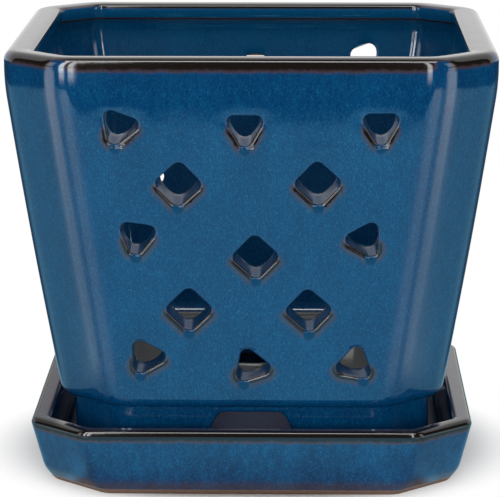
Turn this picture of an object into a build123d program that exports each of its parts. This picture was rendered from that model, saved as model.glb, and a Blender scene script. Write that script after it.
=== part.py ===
from build123d import *
import os
from math import atan, cos, pi, sin, sqrt, tan

# Glazed orchid pot with slotted walls, standing in its own saucer. Millimetres, +Z up, the origin under
# the middle of the saucer, the slotted front towards -Y. Widths are measured across opposite flats, and
# the plan is a square with its four corners cut off.

# Corners of the plan, shared by pot and saucer
corner_cut = 17.0             # taken off each side of the square
pot_corner_radius = 14.0      # where a flat turns into a cut corner
saucer_corner_radius = 6.0
least_corner_radius = 4.5     # inside a corner, however thick the wall
largest_rounding = 0.45       # of the wall or corner that carries it

# Saucer, made to the pot's foot
foot_clearance = 2.1          # foot to the rounded edge of the well's floor
saucer_height = 21.5
saucer_lean = 0.235           # how far the wall leans out for each millimetre up
saucer_bevel = 3.0            # how far the bevel leans out above the base
saucer_bevel_height = 4.5
saucer_wall = 5.0
saucer_rim_wall = 6.5         # the wall thickens towards its rim
saucer_floor = 7.0
saucer_rim_radius = 1.8
saucer_well_radius = 3.0

# Pot, from its foot upwards
pot_height = 130.0
foot_height = 19.5            # up to the underside of the walls
foot_inset = 4.1              # from the walls' lower edge
foot_wall = 8.0
foot_edge_radius = 1.0
under_floor_height = 17.5
floor_thickness = 7.5
floor_corner_radius = 4.0
drain_diameter = 40.0
drain_edge_radius = 1.5
notch_top_width = 20.0
notch_base_width = 37.0
wall_base_width = 119.2
wall_base_radius = 4.0
wall = 7.0
rim_width = 150.0
rim_radius = 3.0
collar_height = 10.0          # upright band that ends the drafted walls
lip_depth = 4.5               # band under the rim that stands in from the wall
lip_overhang = 2.0
lip_radius = 1.6

# Slots of one wall: whole diamonds inside a lattice, half diamonds along its border
slot_base_clearance = 4.6     # above the rounded lower edge of the wall
slot_top_clearance = 4.2      # below the collar
slot_side_clearance = 2.6     # beside the rounded corner
diamond_radius = 7.6
half_diamond_radius = 7.9
slot_corner_radius = 2.1
slot_lip_radius = 0.8
slot_inner_lip_radius = 0.8
cutter_reach = 3.0            # how far a cutter stands out of what it cuts

# Each slot: column from -1 at the left to 1 at the right, sides, turn in degrees, and how far the hand-held
# cutter strayed across and up. Rows run from the bottom up.
slot_rows = [
    [(-1, 3, 1, -2.0, 1.7), (0, 3, -10, 0.2, -1.2), (1, 3, 79, 1.8, -0.5)],
    [(-0.5, 4, 0, -2.3, -1.5), (0.5, 4, 3, 1.2, -1.7)],
    [(-1, 3, 22, 1.5, 3.2), (0, 4, 2, 1.5, -3.2), (1, 3, 60, -1.1, 2.4)],
    [(-0.5, 4, -2, -2.3, 1.0), (0.5, 4, 2, 1.0, 1.3)],
    [(-1, 3, 9, 2.3, 0.1), (0, 3, 30, -1.6, -0.3), (1, 3, 31, -2.4, 0.3)],
]

# How far each wall's set as a whole sits up, climbs to the right for each column, and sits to the right.
# Front, right, back, left.
wall_sets = [(0, 0, 0), (0.8, 0.6, 0), (-1.5, -3.0, 2.2), (-0.6, -0.5, -0.8)]

# Heights above the ground
pot_z = saucer_floor
floor_z = pot_z + under_floor_height
floor_top_z = floor_z + floor_thickness
wall_base_z = pot_z + foot_height
rim_z = pot_z + pot_height
collar_z = rim_z - collar_height
lip_z = rim_z - lip_depth

wall_height = collar_z - wall_base_z
wall_lean = (rim_width - wall_base_width) / 2 / wall_height
foot_width = wall_base_width - 2 * foot_inset
foot_top_z = max(floor_top_z, wall_base_z + wall)

# Lattice of the slots
slot_reach = half_diamond_radius - slot_corner_radius + slot_lip_radius
bottom_row = wall_base_radius + slot_base_clearance + slot_reach
top_row = wall_height - slot_top_clearance - slot_reach
row_pitch = (top_row - bottom_row) / (len(slot_rows) - 1)
corner_tangent = pot_corner_radius * tan(pi / 8)   # how far the rounding of a corner eats into a flat

# Widths of the saucer
well_width = foot_width + 2 * (foot_clearance + saucer_well_radius)
saucer_rim_width = well_width + 2 * (saucer_wall + saucer_lean * (saucer_height - saucer_floor))
saucer_bend_width = saucer_rim_width - 2 * saucer_lean * (saucer_height - saucer_bevel_height)
saucer_base_width = saucer_bend_width - 2 * saucer_bevel


def wall_half(z):
    return wall_base_width / 2 + wall_lean * (z - wall_base_z)


def inset_cut(inset):
    # corner cut of a line that runs evenly inside the outer one
    return corner_cut - inset * (2 - sqrt(2))


def inset_radius(outer_radius, inset):
    return max(outer_radius - inset, least_corner_radius)


def fitted(radius, room):
    return min(radius, largest_rounding * room)


def cut_corner_square(width, inset, outer_radius):
    half = width / 2
    flat = half - inset_cut(inset)
    Polygon(
        (half, -flat), (half, flat), (flat, half), (-flat, half),
        (-half, flat), (-half, -flat), (-flat, -half), (flat, -half),
        align=None,
    )
    fillet(vertices(), inset_radius(outer_radius, inset))


def leaning_plane(base_reach, top_reach, base_z, top_z, turn):
    # X level, Y up the slope, Z outwards; turn 0 faces the front
    lean = atan((top_reach - base_reach) / (top_z - base_z))
    outward = Vector(0, -cos(lean), -sin(lean)).rotate(Axis.Z, turn)
    foot_point = Vector(0, -base_reach, base_z).rotate(Axis.Z, turn)
    return Plane(origin=foot_point, x_dir=Vector(1, 0, 0).rotate(Axis.Z, turn), z_dir=outward)


def drafted_block(base_z, top_z, inset):
    # the space inside the pot's outer walls, or set in from them, with flat sides and rounded upright edges
    base_half = wall_half(base_z) - inset
    top_half = wall_half(top_z) - inset
    base_corner = (2 * base_half - inset_cut(inset)) / sqrt(2)
    top_corner = (2 * top_half - inset_cut(inset)) / sqrt(2)
    widest = 2 * max(base_half, top_half)
    with BuildPart() as block:
        with BuildSketch(Plane.XY.offset(base_z)):
            Rectangle(widest, widest)
        extrude(amount=top_z - base_z)
        for side in range(4):
            split(bisect_by=leaning_plane(base_half, top_half, base_z, top_z, 90 * side), keep=Keep.BOTTOM)
            corner_turn = 90 * side + 45
            split(bisect_by=leaning_plane(base_corner, top_corner, base_z, top_z, corner_turn), keep=Keep.BOTTOM)
        upright = block.edges().filter_by(lambda edge: edge.bounding_box().size.Z > (top_z - base_z) / 2)
        fillet(upright, inset_radius(pot_corner_radius, inset))
    return block.part


def slot_outlines(lift, climb, shift):
    for row, slots in enumerate(slot_rows):
        row_height = bottom_row + row * row_pitch
        flat_half = wall_half(wall_base_z + row_height) - corner_cut - corner_tangent
        outer_column = flat_half - slot_side_clearance - slot_reach
        for column, sides, turn, stray_across, stray_up in slots:
            across = column * outer_column + stray_across + shift
            up = (row_height + stray_up + lift + climb * column) * sqrt(1 + wall_lean**2)
            with Locations((across, up)):
                RegularPolygon(diamond_radius if sides == 4 else half_diamond_radius, sides, rotation=turn)
                fillet(vertices(Select.LAST), slot_corner_radius)


def looks_out(face):
    normal = face.normal_at()
    middle = face.center()
    return normal.X * middle.X + normal.Y * middle.Y > 0


def slot_edges(part, outside):
    # rims of the slots on the walls' outer faces, which look away from the middle, or on their inner ones
    slotted = part.faces().filter_by(lambda face: len(face.inner_wires()) > 1)
    chosen = slotted.filter_by(lambda face: looks_out(face) == outside)
    return [edge for face in chosen for wire in face.inner_wires() for edge in wire.edges()]


os.makedirs("parts", exist_ok=True)

# Saucer: bevelled base, flared wall, flat well
with BuildPart() as saucer:
    with BuildSketch(Plane.XY):
        cut_corner_square(saucer_base_width, 0, saucer_corner_radius)
    with BuildSketch(Plane.XY.offset(saucer_bevel_height)):
        cut_corner_square(saucer_bend_width, 0, saucer_corner_radius)
    loft(ruled=True)
    with BuildSketch(Plane.XY.offset(saucer_bevel_height)):
        cut_corner_square(saucer_bend_width, 0, saucer_corner_radius)
    with BuildSketch(Plane.XY.offset(saucer_height)):
        cut_corner_square(saucer_rim_width, 0, saucer_corner_radius)
    loft(ruled=True)
    with BuildSketch(Plane.XY.offset(saucer_floor)):
        cut_corner_square(well_width, saucer_wall, saucer_corner_radius)
    with BuildSketch(Plane.XY.offset(saucer_height)):
        cut_corner_square(saucer_rim_width - 2 * saucer_rim_wall, saucer_rim_wall, saucer_corner_radius)
    loft(ruled=True, mode=Mode.SUBTRACT)
    fillet(saucer.edges().filter_by_position(Axis.Z, saucer_floor, saucer_floor), saucer_well_radius)
    rim_edges = saucer.edges().filter_by_position(Axis.Z, saucer_height, saucer_height)
    fillet(rim_edges, fitted(saucer_rim_radius, saucer_wall))
saucer.part.label = "saucer"
export_step(saucer.part, "parts/saucer.step")

# Pot: drafted walls and upright collar on a set-in foot ring
pot_outside = drafted_block(wall_base_z, collar_z, 0)
pot_inside = drafted_block(floor_top_z, collar_z, wall)
with BuildPart() as cavity:
    add(pot_inside)
    fillet(cavity.edges().filter_by_position(Axis.Z, floor_top_z, floor_top_z), floor_corner_radius)
    extrude(cavity.faces().sort_by(Axis.Z)[-1], amount=lip_z - collar_z)
    chamfer(cavity.edges().filter_by_position(Axis.Z, lip_z, lip_z), lip_overhang)
    extrude(cavity.faces().sort_by(Axis.Z)[-1], amount=lip_depth)
with BuildPart() as pot:
    add(pot_outside)
    fillet(pot.edges().filter_by_position(Axis.Z, wall_base_z, wall_base_z), wall_base_radius)
    extrude(pot.faces().sort_by(Axis.Z)[-1], amount=collar_height)
    fillet(pot.edges().filter_by_position(Axis.Z, rim_z, rim_z), rim_radius)

    # foot ring and the hollow under the floor
    with BuildSketch(Plane.XY.offset(pot_z)):
        cut_corner_square(foot_width, foot_inset, pot_corner_radius)
    extrude(amount=foot_top_z - pot_z)
    with BuildSketch(Plane.XY.offset(pot_z)):
        cut_corner_square(foot_width - 2 * foot_wall, foot_inset + foot_wall, pot_corner_radius)
    extrude(amount=under_floor_height, mode=Mode.SUBTRACT)

    # cavity, closing in under the lip
    add(cavity.part, mode=Mode.SUBTRACT)
    fillet(pot.faces().sort_by(Axis.Z)[-1].inner_wires()[0].edges(), lip_radius)

    # drain hole, and notches across the foot both ways
    with BuildSketch(Plane.XY.offset(floor_z)):
        Circle(drain_diameter / 2)
    extrude(amount=floor_thickness, mode=Mode.SUBTRACT)
    fillet(pot.edges().filter_by(GeomType.CIRCLE).filter_by_position(Axis.Z, floor_z, floor_top_z)
           .filter_by(lambda edge: edge.is_closed), drain_edge_radius)
    for notch_plane in (Plane.XZ, Plane.YZ):
        with BuildSketch(notch_plane):
            Polygon(
                (-notch_base_width / 2, pot_z), (notch_base_width / 2, pot_z),
                (notch_top_width / 2, floor_z), (-notch_top_width / 2, floor_z),
                align=None,
            )
        extrude(amount=foot_width / 2, both=True, mode=Mode.SUBTRACT)
    fillet(pot.edges().filter_by_position(Axis.Z, pot_z, pot_z), foot_edge_radius)

    # slots, cut square to each wall
    for side, (lift, climb, shift) in enumerate(wall_sets):
        wall_face = leaning_plane(wall_base_width / 2, rim_width / 2, wall_base_z, collar_z, 90 * side)
        with BuildSketch(wall_face.offset(cutter_reach)):
            slot_outlines(lift, climb, shift)
        extrude(amount=-(wall + 2 * cutter_reach), mode=Mode.SUBTRACT)
    fillet(slot_edges(pot, outside=True), slot_lip_radius)
    fillet(slot_edges(pot, outside=False), slot_inner_lip_radius)
pot.part.label = "pot"
export_step(pot.part, "parts/pot.step")
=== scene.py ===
import bpy
import numpy as np
from math import atan, cos, pi, radians, sin, sqrt, tan
from mathutils import Matrix, Vector


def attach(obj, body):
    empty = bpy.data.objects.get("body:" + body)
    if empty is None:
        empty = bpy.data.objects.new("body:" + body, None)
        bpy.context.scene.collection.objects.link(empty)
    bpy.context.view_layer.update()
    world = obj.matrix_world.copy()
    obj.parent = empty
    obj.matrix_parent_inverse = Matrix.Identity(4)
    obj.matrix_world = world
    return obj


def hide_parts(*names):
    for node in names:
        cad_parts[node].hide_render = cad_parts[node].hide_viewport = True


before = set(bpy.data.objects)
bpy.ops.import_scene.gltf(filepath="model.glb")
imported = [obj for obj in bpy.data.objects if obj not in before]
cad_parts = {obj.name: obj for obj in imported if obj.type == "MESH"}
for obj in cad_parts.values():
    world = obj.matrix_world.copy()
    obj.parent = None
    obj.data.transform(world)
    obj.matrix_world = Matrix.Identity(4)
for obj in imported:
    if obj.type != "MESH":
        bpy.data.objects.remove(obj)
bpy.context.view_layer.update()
mm = 0.001
print("frame loaded:", sorted(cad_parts))


class Wire:
    # a socket of a node tree; a sum on it adds its Math nodes to the tree
    def __init__(self, tree, socket=None):
        self.tree = tree
        self.socket = socket

    def add(self, kind, settings=None, sockets=None, out=0):
        node = self.tree.nodes.new(kind)
        for name, value in (settings or {}).items():
            if name == "stops":
                self.setStops(node.color_ramp, value)
            else:
                setattr(node, name, value)
        for key, value in (sockets or {}).items():
            for single in value if isinstance(value, list) else [value]:
                self.plug(node, key, single)
        return type(self)(self.tree, self.pick(node.outputs, out) if node.outputs else None)

    def plug(self, node, key, value):
        target = self.pick(node.inputs, key)
        if isinstance(value, Wire):
            self.tree.links.new(value.socket, target)
        else:
            target.default_value = value

    def pick(self, sockets, key):
        if isinstance(key, int):
            return [socket for socket in sockets if socket.enabled][key]
        return next(socket for socket in sockets if socket.name == key and socket.enabled)

    def setStops(self, ramp, stops):
        while len(ramp.elements) < len(stops):
            ramp.elements.new(1.0)
        for element, (place, colour) in zip(ramp.elements, stops):
            element.position = place
            element.color = (*colour, 1.0)

    def other(self, name):
        return type(self)(self.tree, self.pick(self.socket.node.outputs, name))

    def maths(self, operation, *values):
        return self.add("ShaderNodeMath", {"operation": operation}, dict(enumerate(values)))

    def vector(self, operation, *values, out=0):
        return self.add("ShaderNodeVectorMath", {"operation": operation}, dict(enumerate(values)), out)

    def __add__(self, other):
        return self.maths("ADD", self, other)

    def __radd__(self, other):
        return self.maths("ADD", other, self)

    def __sub__(self, other):
        return self.maths("SUBTRACT", self, other)

    def __rsub__(self, other):
        return self.maths("SUBTRACT", other, self)

    def __mul__(self, other):
        return self.maths("MULTIPLY", self, other)

    def __rmul__(self, other):
        return self.maths("MULTIPLY", other, self)

    def __truediv__(self, other):
        return self.maths("DIVIDE", self, other)

    def __rtruediv__(self, other):
        return self.maths("DIVIDE", other, self)

    def __mod__(self, other):
        return self.maths("FLOORED_MODULO", self, other)


plan = {
    "cornerCut": 17.0,      # taken off each side of the square, mm
    "leastRadius": 4.5,
    "flatColumns": 84, "cutColumns": 6, "arcColumns": 7,
    "roundHalf": 53.0, "roundInset": 7.0,   # plan from which a round hole takes its directions
    "merge": 0.005,         # points closer than this become one, mm
}


def cutAt(inset):
    return plan["cornerCut"] - inset * (2 - sqrt(2))


def planShares():
    # a point of the plan is half * width + cut * corner + radius * round, for any size of the plan
    reach = tan(pi / 8)
    slant = sqrt(0.5)
    bends = np.linspace(0, pi / 4, plan["arcColumns"] + 1)
    points = []
    for bend in bends:
        points.append([(1, -1), (-1, 0), (sin(bend) - reach, 1 - cos(bend))])
    firstEnd = np.array(points[-1])
    secondArc = []
    for bend in bends + pi / 4:
        round = (sin(bend) - (reach + 1) * slant, -cos(bend) + (1 - reach) * slant)
        secondArc.append([(1, -1), (0, 1), round])
    secondArc = np.array(secondArc)
    for share in np.linspace(0, 1, plan["cutColumns"] + 1)[1:-1]:
        points.append(firstEnd + share * (secondArc[0] - firstEnd))
    points = np.concatenate([np.array(points), secondArc])
    quarter = np.array([(0, 1), (-1, 0)])       # row vectors turn by 90 degrees
    nextStart = points[0] @ quarter
    flat = [points[-1] + share * (nextStart - points[-1])
            for share in np.linspace(0, 1, plan["flatColumns"] + 1)[1:-1]]
    side = np.concatenate([points, np.array(flat)])
    ring = [side]
    for turn in range(3):
        ring.append(ring[-1] @ quarter)
    return np.concatenate(ring)                 # points, (width, corner, round), (x, y)


def pointCloud(name, columns, positions=None):
    # a loose mesh that only carries numbers into a node tree
    count = len(next(iter(columns.values())))
    mesh = bpy.data.meshes.new(name)
    mesh.vertices.add(count)
    if positions is not None:
        mesh.vertices.foreach_set("co", np.asarray(positions, np.float32).ravel())
    for key, values in columns.items():
        values = np.asarray(values, np.float32)
        kind = "FLOAT_VECTOR" if values.ndim == 2 else "FLOAT"
        attribute = mesh.attributes.new(key, kind, "POINT")
        attribute.data.foreach_set("vector" if values.ndim == 2 else "value", values.ravel())
    holder = bpy.data.objects.new(name, mesh)
    bpy.context.scene.collection.objects.link(holder)
    return holder


def planCloud():
    shares = planShares()
    flat = np.zeros((len(shares), 1))
    columns = {key: np.hstack([shares[:, place], flat])
               for place, key in enumerate(("width", "corner", "round"))}
    inset = plan["roundInset"]
    circle = plan["roundHalf"] * shares[:, 0] + cutAt(inset) * shares[:, 1] + inset * shares[:, 2]
    circle = circle / np.linalg.norm(circle, axis=1)[:, None]
    columns["circle"] = np.hstack([circle, flat])
    return pointCloud("planPoints", columns)


class Profile:
    # rows of a section, each a plan of its own size and height; lengths in mm
    def __init__(self, cornerRadius):
        self.cornerRadius = cornerRadius
        self.rows = []

    def row(self, half, z, inset=0.0, blend=0.0, reach=0.0):
        radius = max(self.cornerRadius - inset, plan["leastRadius"])
        self.rows.append((half, cutAt(inset), radius, z, blend, reach))

    def arc(self, half, z, radius, start, stop, steps, insetFrom):
        # rounding about a centre; the inset is what it takes off the reference half width
        for angle in np.radians(np.linspace(start, stop, steps + 1)):
            rowHalf = half + radius * cos(angle)
            rowZ = z + radius * sin(angle)
            self.row(rowHalf, rowZ, insetFrom(rowZ) - rowHalf)

    def cloud(self, name):
        rows = np.array(self.rows)
        keys = ("half", "corner", "radius", "height", "blend", "reach")
        scaled = rows * np.array([mm, mm, mm, mm, 1, mm])
        return pointCloud(name, {key: scaled[:, place] for place, key in enumerate(keys)})


pot = {
    "cornerRadius": 14.0,
    "footZ": 7.0, "footInset": 4.1, "footWall": 8.0, "footEdge": 1.0, "footBlend": 0.6,
    "underZ": 24.5, "floorZ": 32.0, "floorEdge": 4.0,
    "drainRadius": 20.0, "drainEdge": 1.5,
    "wallZ": 26.5, "wallHalf": 59.6, "wallEdge": 4.0, "wall": 7.0,
    "swell": 0.45,          # how far the middle of a wall stands out of true
    "collarZ": 127.0, "collarBlend": 5.0,   # where the leaning wall eases upright
    "rimZ": 137.0, "rimHalf": 75.0, "rimEdge": 3.0, "rimCrown": 0.12,
    "crownFlat": 1.0, "crownTilt": 6,       # half of the level top, and the slope beside it in degrees
    "lipDepth": 4.5, "lipOverhang": 2.0, "lipEdge": 1.6,
    "lipCurve": ((0.3, 0.7), (1.2, 1.5), (2.0, 2.6)),       # under the lip: out and down
    "lipFoot": 5.0,         # where the inside of the wall begins, below the lip
    "wallRows": 80, "innerRows": 22, "edgeSteps": 6, "lipSteps": 4, "footRows": 9,
    "floorRings": (0.2, 0.4, 0.6, 0.8, 1.0), "underRings": (0.65, 0.3), "underDrop": 6.0,
    "levelBelow": 11.0,     # the foot stays true up to here
    "uneven": 0.06,         # how far the hand-pressed walls stray, mm
    "unevenScale": 15.0,    # waves in a metre
    "seed": 3.0,
}
potLean = (pot["rimHalf"] - pot["wallHalf"]) / (pot["collarZ"] - pot["wallZ"])


def swellAt(z):
    share = np.clip((z - pot["wallZ"]) / (pot["collarZ"] - pot["wallZ"]), 0, 1)
    return pot["swell"] * np.sin(pi * share)


def potHalf(z):
    # outer wall, easing into the upright collar
    start = pot["collarZ"] - pot["collarBlend"]
    ease = np.clip(z - start, 0, 2 * pot["collarBlend"])
    straight = np.minimum(z, start + 2 * pot["collarBlend"]) - pot["wallZ"]
    return pot["wallHalf"] + potLean * (straight - ease**2 / (4 * pot["collarBlend"])) + swellAt(z)


def potProfile():
    section = Profile(pot["cornerRadius"])
    tilt = np.degrees(atan(potLean))
    # lower edge of the wall and the wall itself
    edge = pot["wallEdge"]
    edgeHalf = potHalf(pot["wallZ"] + edge) - edge * sqrt(1 + potLean**2)
    section.arc(edgeHalf, pot["wallZ"] + edge, edge, -90, -tilt, pot["edgeSteps"], potHalf)
    wallStart = pot["wallZ"] + edge - edge * sin(radians(tilt))
    rimStart = pot["rimZ"] - pot["rimEdge"]
    for z in np.linspace(wallStart, rimStart, pot["wallRows"] + 1)[1:-1]:
        section.row(potHalf(z), z)
    # rim, crowned a little, and the lip that stands in from the wall
    section.arc(pot["rimHalf"] - pot["rimEdge"], rimStart, pot["rimEdge"],
                0, 90 - pot["crownTilt"], pot["edgeSteps"], potHalf)
    lipInset = pot["wall"] + pot["lipOverhang"]
    lipHalf = pot["rimHalf"] - lipInset
    crownHalf = (lipHalf + pot["rimHalf"]) / 2
    for step in (pot["crownFlat"], -pot["crownFlat"]):
        section.row(crownHalf + step, pot["rimZ"], pot["rimHalf"] - crownHalf - step)
    section.arc(lipHalf + pot["lipEdge"], pot["rimZ"] - pot["lipEdge"] - pot["rimCrown"], pot["lipEdge"],
                90 + pot["crownTilt"], 180, pot["lipSteps"], lambda z: pot["rimHalf"])
    lipZ = pot["rimZ"] - pot["lipDepth"]
    section.row(lipHalf, lipZ, lipInset)
    for out, down in pot["lipCurve"]:
        section.row(lipHalf + out, lipZ - down, lipInset - out)
    # inside of the wall, floor and drain hole
    floorEdge = pot["floorEdge"]
    for z in np.linspace(lipZ - pot["lipFoot"], pot["floorZ"] + floorEdge + 1, pot["innerRows"]):
        section.row(potHalf(z) - pot["wall"], z, pot["wall"])
    innerHalf = potHalf(pot["floorZ"] + floorEdge) - pot["wall"]
    for angle in np.radians(np.linspace(0, 90, 5)):
        half = innerHalf - floorEdge * (1 - cos(angle))
        section.row(half, pot["floorZ"] + floorEdge * (1 - sin(angle)), pot["wall"] + innerHalf - half)
    drainEdge = pot["drainEdge"]
    flatReach = pot["drainRadius"] + drainEdge
    floorHalf = innerHalf - floorEdge
    for share in pot["floorRings"]:
        reach = floorHalf + (flatReach - floorHalf) * share
        section.row(reach, pot["floorZ"], pot["wall"] + floorEdge, share, reach)
    for angle in np.radians(np.linspace(90, 180, 4)[1:]):
        section.row(1, pot["floorZ"] - drainEdge * (1 - sin(angle)), 0, 1, flatReach + drainEdge * cos(angle))
    for angle in np.radians(np.linspace(180, 270, 4)):
        section.row(1, pot["underZ"] + drainEdge * (1 + sin(angle)), 0, 1, flatReach + drainEdge * cos(angle))
    # hollow under the floor and the foot ring
    footHalf = pot["wallHalf"] - pot["footInset"]
    footInner = footHalf - pot["footWall"]
    innerInset = pot["footInset"] + pot["footWall"]
    for share in pot["underRings"]:
        reach = flatReach + (footInner - flatReach) * (1 - share)
        section.row(reach, pot["underZ"], innerInset, share, reach)
    section.row(footInner, pot["underZ"], innerInset)
    section.row(footInner, pot["underZ"] - pot["underDrop"], innerInset)
    footEdge = pot["footEdge"]
    baseZ = pot["footZ"] + footEdge
    for angle in np.radians((180, 225, 270)):
        half = footInner + footEdge * (1 + cos(angle))
        section.row(half, baseZ + footEdge * sin(angle), innerInset + footInner - half)
    for angle in np.radians((270, 315, 360)):
        half = footHalf - footEdge * (1 - cos(angle))
        section.row(half, baseZ + footEdge * sin(angle), pot["footInset"] + footHalf - half)
    footBlend = pot["footBlend"]
    for z in np.linspace(baseZ, pot["wallZ"] - footBlend, pot["footRows"])[1:]:
        section.row(footHalf, z, pot["footInset"])
    for angle in np.radians((150, 120, 95)):        # soft crease under the wall
        half = footHalf + footBlend * (1 + cos(angle))
        section.row(half, pot["wallZ"] - footBlend * (1 - sin(angle)), pot["footInset"] + footHalf - half)
    return section.cloud("potSection")


saucer = {
    "cornerRadius": 6.0,
    "baseHalf": 62.0, "bendHalf": 65.0, "bendZ": 4.5, "bendSoft": 1.4,
    "lean": 0.235, "height": 21.5, "wall": 5.0, "rimWall": 6.5,
    "rimEdge": 1.8, "floorZ": 7.0, "wellHalf": 60.6, "wellEdge": 3.0, "baseEdge": 0.5,
    "wallLevels": (1.1, 1.8, 2.6, 3.4, 4.0, 4.5, 5.0, 5.6, 6.4, 7.6, 9, 10.5, 12, 13.5, 15, 16.5, 18, 19),
    "baseRing": 4.0, "innerRim": 0.9, "wellLean": 0.2, "innerRows": 5,
    "floorRings": ((46, 0.5), (30, 1.0), (14, 1.0), (0, 1.0)),      # reach, and how round the ring is
    "uneven": 0.06, "unevenScale": 17.0, "seed": 8.0,
    "levelBelow": 7.5,      # the base and the floor under the pot stay true up to here
}


def saucerProfile():
    section = Profile(saucer["cornerRadius"])
    rimHalf = saucer["bendHalf"] + saucer["lean"] * (saucer["height"] - saucer["bendZ"])
    baseLean = (saucer["bendHalf"] - saucer["baseHalf"]) / saucer["bendZ"]
    soft = saucer["bendSoft"]

    def outerHalf(z):
        # bevel and wall, with a soft bend between them
        low = saucer["baseHalf"] + baseLean * z
        high = saucer["bendHalf"] + saucer["lean"] * (z - saucer["bendZ"])
        return (low + high - np.sqrt((low - high)**2 + 0.16 * soft**2)) / 2

    edge = saucer["baseEdge"]
    section.row(1, 0, 0, 1, 0)
    section.row(saucer["baseHalf"] - saucer["baseRing"], 0, saucer["baseRing"])
    section.row(saucer["baseHalf"] - edge, 0, edge)
    section.row(saucer["baseHalf"] - 0.1 * edge, 0.45 * edge, 0.1 * edge)
    for z in saucer["wallLevels"]:
        section.row(outerHalf(z), z)
    # rounded rim
    round = saucer["rimEdge"]
    tilt = np.degrees(atan(saucer["lean"]))
    topZ = saucer["height"] - round
    outerCentre = rimHalf - saucer["lean"] * round - round * sqrt(1 + saucer["lean"]**2)
    for angle in np.radians(np.linspace(-tilt, 90, 7)):
        half = outerCentre + round * cos(angle)
        z = topZ + round * sin(angle)
        section.row(half, z, float(outerHalf(z)) - half)
    innerCentre = rimHalf - saucer["rimWall"] + round * saucer["innerRim"]
    rise = (rimHalf - saucer["rimWall"] - saucer["wellHalf"]) / (saucer["height"] - saucer["floorZ"])
    for angle in np.radians(np.linspace(90, 180 - np.degrees(atan(rise)), 6)):
        half = innerCentre + round * cos(angle)
        z = topZ + round * sin(angle)
        section.row(half, z, float(outerHalf(z)) - half)
    # inside of the wall, rounded well, floor
    well = saucer["wellEdge"]

    def innerHalf(z):
        return saucer["wellHalf"] + rise * (z - saucer["floorZ"])

    for z in np.linspace(topZ - 2, saucer["floorZ"] + well + 0.5, saucer["innerRows"]):
        section.row(innerHalf(z), z, float(outerHalf(z)) - innerHalf(z))
    for angle in np.radians(np.linspace(0, 90, 6)):
        half = innerHalf(saucer["floorZ"] + well) - well * (1 - cos(angle)) - saucer["wellLean"] * sin(angle)
        z = saucer["floorZ"] + well * (1 - sin(angle))
        section.row(half, z, saucer["wall"] + well * (1 - cos(angle)))
    for reach, blend in saucer["floorRings"]:
        section.row(reach, saucer["floorZ"], saucer["wall"] + well, blend, reach)
    return section.cloud("saucerSection")


def newTree(name, inputs):
    tree = bpy.data.node_groups.new(name, "GeometryNodeTree")
    tree.interface.new_socket("Geometry", in_out="OUTPUT", socket_type="NodeSocketGeometry")
    tree.interface.new_socket("Geometry", in_out="INPUT", socket_type="NodeSocketGeometry")
    for label, kind in inputs.items():
        tree.interface.new_socket(label, in_out="INPUT", socket_type="NodeSocket" + kind)
    return Wire(tree).add("NodeGroupInput")


def lookUp(points, key, index, kind="FLOAT"):
    # one number of a point cloud, by its row
    value = points.add("GeometryNodeInputNamedAttribute", {"data_type": kind}, {"Name": key})
    return points.add("GeometryNodeSampleIndex", {"data_type": kind},
                      {"Geometry": points, "Value": value, "Index": index})


def sweepPlan(start, closed):
    # the plan's points times the section's rows
    around = start.add("GeometryNodeObjectInfo", None, {"Object": start.other("Plan")}, "Geometry")
    section = start.add("GeometryNodeObjectInfo", None, {"Object": start.other("Section")}, "Geometry")
    aroundCount = start.add("GeometryNodeAttributeDomainSize", None, {"Geometry": around})
    sectionCount = start.add("GeometryNodeAttributeDomainSize", None, {"Geometry": section})
    rowsAlong = sectionCount + (1 if closed else 0)
    grid = start.add("GeometryNodeMeshGrid", None, {"Vertices X": aroundCount + 1, "Vertices Y": rowsAlong})
    index = start.add("GeometryNodeInputIndex")
    column = index.maths("FLOOR", (index + 0.5) / rowsAlong) % aroundCount
    row = (index % rowsAlong) % sectionCount
    place = None
    for share, size in (("width", "half"), ("corner", "corner"), ("round", "radius")):
        direction = lookUp(around, share, column, "FLOAT_VECTOR")
        part = direction.vector("SCALE", direction, lookUp(section, size, row))
        place = part if place is None else place.vector("ADD", place, part)
    circle = lookUp(around, "circle", column, "FLOAT_VECTOR")
    disc = circle.vector("SCALE", circle, lookUp(section, "reach", row))
    place = place.add("ShaderNodeMix", {"data_type": "VECTOR"},
                      {"Factor": lookUp(section, "blend", row), "A": place, "B": disc})
    height = place.add("ShaderNodeCombineXYZ", None, {"Z": lookUp(section, "height", row)})
    place = place.vector("ADD", place, height)
    body = grid.add("GeometryNodeSetPosition", None, {"Geometry": grid, "Position": place})
    return body.add("GeometryNodeMergeByDistance", None, {"Geometry": body, "Distance": plan["merge"] * mm})


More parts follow.
